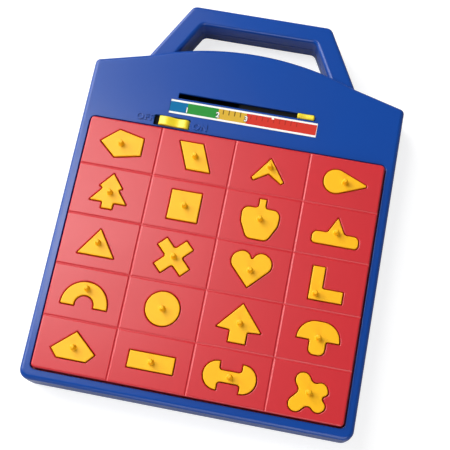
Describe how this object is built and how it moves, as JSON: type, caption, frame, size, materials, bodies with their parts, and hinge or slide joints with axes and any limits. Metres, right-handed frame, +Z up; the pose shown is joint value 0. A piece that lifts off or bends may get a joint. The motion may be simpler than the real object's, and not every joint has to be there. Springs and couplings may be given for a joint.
{
  "type": "pop up shape timer game",
  "caption": "Blue plastic carrying case with a handle, a spring lifted red tray of shape pockets, yellow pegged shape pieces and a clockwork slide timer that pops the tray up.",
  "frame": {"origin": "on the resting plane under the middle of the case and its handle", "axes": "+Z up from the resting plane, +Y from the front edge towards the handle, +X to the right with the handle away from the player"},
  "size_m": [0.2526, 0.325, 0.044],
  "materials": {
    "case_blue": "satin moulded ABS",
    "tray_red": "glossy moulded polystyrene",
    "piece_yellow": "satin moulded ABS",
    "lemon_yellow": "glossy moulded ABS",
    "label_print": "printed film",
    "clock_nylon": "natural nylon",
    "clock_black": "black acetal",
    "spring_steel": "plain zinc plated steel"
  },
  "bodies": {
    "case": {"base_shell": "case_blue", "top_cover": "case_blue", "scale_label": "label_print", "case_screw_1": "spring_steel", "case_screw_2": "spring_steel", "case_screw_3": "spring_steel", "case_screw_4": "spring_steel", "case_screw_5": "spring_steel", "case_screw_6": "spring_steel", "case_screw_7": "spring_steel", "case_screw_8": "spring_steel", "timer_lower_plate": "clock_black", "timer_upper_plate": "clock_black", "timer_screw_1": "spring_steel", "timer_screw_2": "spring_steel", "timer_screw_3": "spring_steel", "timer_screw_4": "spring_steel", "lift_spring_1": "spring_steel", "lift_spring_2": "spring_steel", "lift_spring_3": "spring_steel", "lift_spring_4": "spring_steel"},
    "tray": {"shape_tray": "tray_red"},
    "pentagon_piece": {"pentagon_piece": "piece_yellow"},
    "rhombus_piece": {"rhombus_piece": "piece_yellow"},
    "chevron_piece": {"chevron_piece": "piece_yellow"},
    "teardrop_piece": {"teardrop_piece": "piece_yellow"},
    "tree_piece": {"tree_piece": "piece_yellow"},
    "square_piece": {"square_piece": "piece_yellow"},
    "apple_piece": {"apple_piece": "piece_yellow"},
    "hat_piece": {"hat_piece": "piece_yellow"},
    "triangle_piece": {"triangle_piece": "piece_yellow"},
    "cross_piece": {"cross_piece": "piece_yellow"},
    "heart_piece": {"heart_piece": "piece_yellow"},
    "ell_piece": {"ell_piece": "piece_yellow"},
    "arch_piece": {"arch_piece": "piece_yellow"},
    "disc_piece": {"disc_piece": "piece_yellow"},
    "arrow_piece": {"arrow_piece": "piece_yellow"},
    "mushroom_piece": {"mushroom_piece": "piece_yellow"},
    "gem_piece": {"gem_piece": "piece_yellow"},
    "rectangle_piece": {"rectangle_piece": "piece_yellow"},
    "spool_piece": {"spool_piece": "piece_yellow"},
    "clover_piece": {"clover_piece": "piece_yellow"},
    "timer_slide": {"timer_pointer": "lemon_yellow", "timer_rack": "clock_black"},
    "switch": {"on_off_knob": "lemon_yellow", "switch_slide": "clock_black"},
    "barrel": {"winding_pinion": "clock_nylon", "spring_barrel": "clock_nylon", "mainspring": "spring_steel"},
    "second": {"second_wheel": "clock_nylon"},
    "escape": {"escape_wheel": "clock_nylon"},
    "pallet": {"pallet": "clock_nylon"},
    "latch": {"tray_latch": "clock_black"}
  },
  "joints": [
    {"name": "tray_pop", "type": "slide", "parent": "case", "child": "tray", "axis": [0, 0, 1], "range_m": [-0.008, 0], "stiffness_N_per_m": 1500, "springref_m": 0.01, "deforming": ["lift_spring_1", "lift_spring_2", "lift_spring_3", "lift_spring_4"]},
    {"name": "pentagon_lift", "type": "slide", "parent": "tray", "child": "pentagon_piece", "axis": [0, 0, 1], "range_m": [0, 0.06]},
    {"name": "rhombus_lift", "type": "slide", "parent": "tray", "child": "rhombus_piece", "axis": [0, 0, 1], "range_m": [0, 0.06]},
    {"name": "chevron_lift", "type": "slide", "parent": "tray", "child": "chevron_piece", "axis": [0, 0, 1], "range_m": [0, 0.06]},
    {"name": "teardrop_lift", "type": "slide", "parent": "tray", "child": "teardrop_piece", "axis": [0, 0, 1], "range_m": [0, 0.06]},
    {"name": "tree_lift", "type": "slide", "parent": "tray", "child": "tree_piece", "axis": [0, 0, 1], "range_m": [0, 0.06]},
    {"name": "square_lift", "type": "slide", "parent": "tray", "child": "square_piece", "axis": [0, 0, 1], "range_m": [0, 0.06]},
    {"name": "apple_lift", "type": "slide", "parent": "tray", "child": "apple_piece", "axis": [0, 0, 1], "range_m": [0, 0.06]},
    {"name": "hat_lift", "type": "slide", "parent": "tray", "child": "hat_piece", "axis": [0, 0, 1], "range_m": [0, 0.06]},
    {"name": "triangle_lift", "type": "slide", "parent": "tray", "child": "triangle_piece", "axis": [0, 0, 1], "range_m": [0, 0.06]},
    {"name": "cross_lift", "type": "slide", "parent": "tray", "child": "cross_piece", "axis": [0, 0, 1], "range_m": [0, 0.06]},
    {"name": "heart_lift", "type": "slide", "parent": "tray", "child": "heart_piece", "axis": [0, 0, 1], "range_m": [0, 0.06]},
    {"name": "ell_lift", "type": "slide", "parent": "tray", "child": "ell_piece", "axis": [0, 0, 1], "range_m": [0, 0.06]},
    {"name": "arch_lift", "type": "slide", "parent": "tray", "child": "arch_piece", "axis": [0, 0, 1], "range_m": [0, 0.06]},
    {"name": "disc_lift", "type": "slide", "parent": "tray", "child": "disc_piece", "axis": [0, 0, 1], "range_m": [0, 0.06]},
    {"name": "arrow_lift", "type": "slide", "parent": "tray", "child": "arrow_piece", "axis": [0, 0, 1], "range_m": [0, 0.06]},
    {"name": "mushroom_lift", "type": "slide", "parent": "tray", "child": "mushroom_piece", "axis": [0, 0, 1], "range_m": [0, 0.06]},
    {"name": "gem_lift", "type": "slide", "parent": "tray", "child": "gem_piece", "axis": [0, 0, 1], "range_m": [0, 0.06]},
    {"name": "rectangle_lift", "type": "slide", "parent": "tray", "child": "rectangle_piece", "axis": [0, 0, 1], "range_m": [0, 0.06]},
    {"name": "spool_lift", "type": "slide", "parent": "tray", "child": "spool_piece", "axis": [0, 0, 1], "range_m": [0, 0.06]},
    {"name": "clover_lift", "type": "slide", "parent": "tray", "child": "clover_piece", "axis": [0, 0, 1], "range_m": [0, 0.06]},
    {"name": "timer_wind", "type": "slide", "parent": "case", "child": "timer_slide", "axis": [1, 0, 0], "range_m": [-0.096, 0]},
    {"name": "on_off_slide", "type": "slide", "parent": "case", "child": "switch", "axis": [1, 0, 0], "range_m": [-0.0038, 0]},
    {"name": "barrel_spin", "type": "hinge", "parent": "case", "child": "barrel", "pos_m": [0, 0.09575, 0.0083], "axis": [0, 0, 1], "range_deg": [-550.1, 0]},
    {"name": "second_spin", "type": "hinge", "parent": "case", "child": "second", "pos_m": [-0.01762, 0.10216, 0.0187], "axis": [0, 0, 1], "range_deg": [0, 2200.2]},
    {"name": "escape_spin", "type": "hinge", "parent": "case", "child": "escape", "pos_m": [-0.03461, 0.09917, 0.0152], "axis": [0, 0, 1], "range_deg": [-7920.6, 0]},
    {"name": "pallet_rock", "type": "hinge", "parent": "case", "child": "pallet", "pos_m": [-0.04721, 0.09917, 0.0152], "axis": [0, 0, 1], "range_deg": [-5, 5]},
    {"name": "latch_turn", "type": "hinge", "parent": "case", "child": "latch", "pos_m": [-0.08, 0.0646, 0.0202], "axis": [0, 0, 1], "range_deg": [-7, 0]}
  ],
  "couplings": [
    {"joint": "barrel_spin", "follows": "timer_wind", "rad_per_m": 100},
    {"joint": "second_spin", "follows": "timer_wind", "rad_per_m": -400},
    {"joint": "escape_spin", "follows": "timer_wind", "rad_per_m": 1440}
  ]
}
